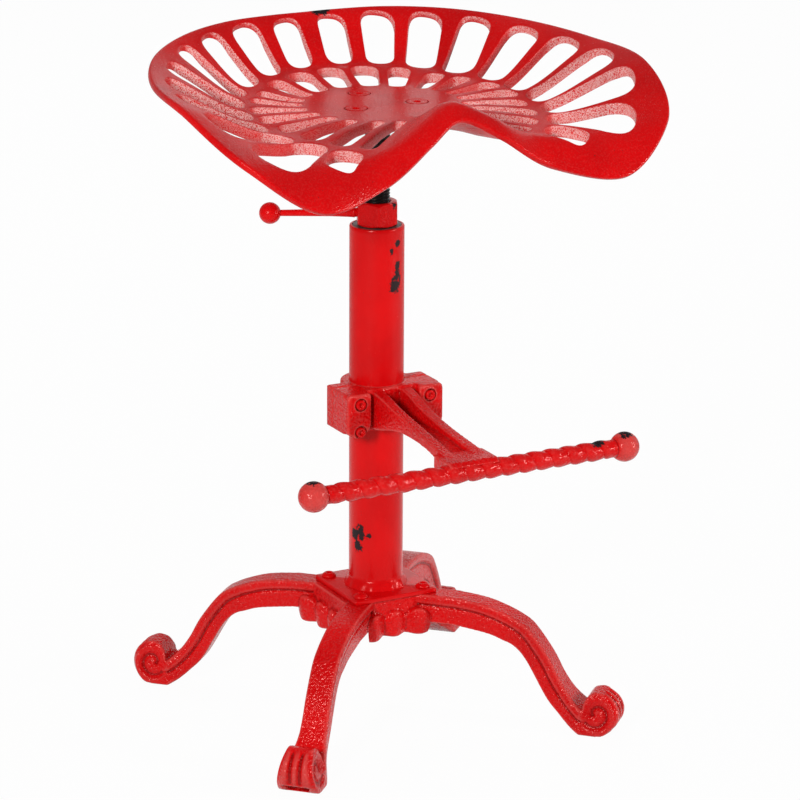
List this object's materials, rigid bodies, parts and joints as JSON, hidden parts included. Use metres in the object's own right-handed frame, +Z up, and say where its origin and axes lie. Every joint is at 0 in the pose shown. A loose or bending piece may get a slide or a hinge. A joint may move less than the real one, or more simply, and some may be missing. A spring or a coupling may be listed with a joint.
{
  "type": "tractor seat stool",
  "caption": "Height-adjustable cast iron stool with a slotted, dished tractor seat on a screw spindle, a clamped twisted-bar footrest and scroll-footed legs.",
  "frame": {"origin": "on the floor under the middle of the stool's bounding box", "axes": "+Z up; -Y the way the sitter faces, towards the footrest; +X to the sitter's left"},
  "size_m": [0.4678, 0.381, 0.6421],
  "materials": {
    "cast_red": "red enamel over rough cast iron, with small chips down to dark metal",
    "smooth_red": "glossy red enamel over smooth steel, with chips down to dark metal",
    "fastener_red": "red enamel over machined screws and nuts",
    "black_steel": "dark oiled steel",
    "bush_steel": "plain machined steel, hidden inside the column"
  },
  "bodies": {
    "stand": {"column_tube": "smooth_red", "column_bush": "bush_steel", "base_plate": "cast_red", "hub_casting": "cast_red", "leg_1": "cast_red", "leg_2": "cast_red", "leg_3": "cast_red", "leg_4": "cast_red", "base_screw_1": "fastener_red", "base_screw_2": "fastener_red", "base_screw_3": "fastener_red", "base_screw_4": "fastener_red"},
    "footrest": {"footrest_clamp_front": "cast_red", "footrest_clamp_back": "cast_red", "footrest_bar": "cast_red", "clamp_bolt_1": "fastener_red", "clamp_bolt_2": "fastener_red", "clamp_bolt_3": "fastener_red", "clamp_bolt_4": "fastener_red", "clamp_nut_1": "fastener_red", "clamp_nut_2": "fastener_red", "clamp_nut_3": "fastener_red", "clamp_nut_4": "fastener_red"},
    "spindle_lift": {"spindle": "black_steel"},
    "seat": {"seat_pan": "cast_red", "seat_flange": "black_steel", "seat_screw_1": "cast_red", "seat_screw_2": "cast_red", "seat_screw_3": "cast_red"},
    "lock_nut": {"lock_nut": "smooth_red", "lock_lever": "smooth_red", "lock_ball": "smooth_red"}
  },
  "joints": [
    {"name": "footrest_height", "type": "slide", "parent": "stand", "child": "footrest", "axis": [0, 0, 1], "range_m": [-0.12, 0.12]},
    {"name": "seat_lift", "type": "slide", "parent": "stand", "child": "spindle_lift", "axis": [0, 0, 1], "range_m": [-0.0601, 0.1081]},
    {"name": "seat_turn", "type": "hinge", "parent": "spindle_lift", "child": "seat", "pos_m": [0, 0.00847, 0.57], "axis": [0, 0, 1], "range_deg": [-7200, 12960]},
    {"name": "lock_turn", "type": "hinge", "parent": "stand", "child": "lock_nut", "pos_m": [0, 0.00847, 0.4826], "axis": [0, 0, 1], "range_deg": [0, 120]}
  ],
  "couplings": [
    {"joint": "seat_lift", "follows": "seat_turn", "m_per_rad": 0.00047746}
  ]
}
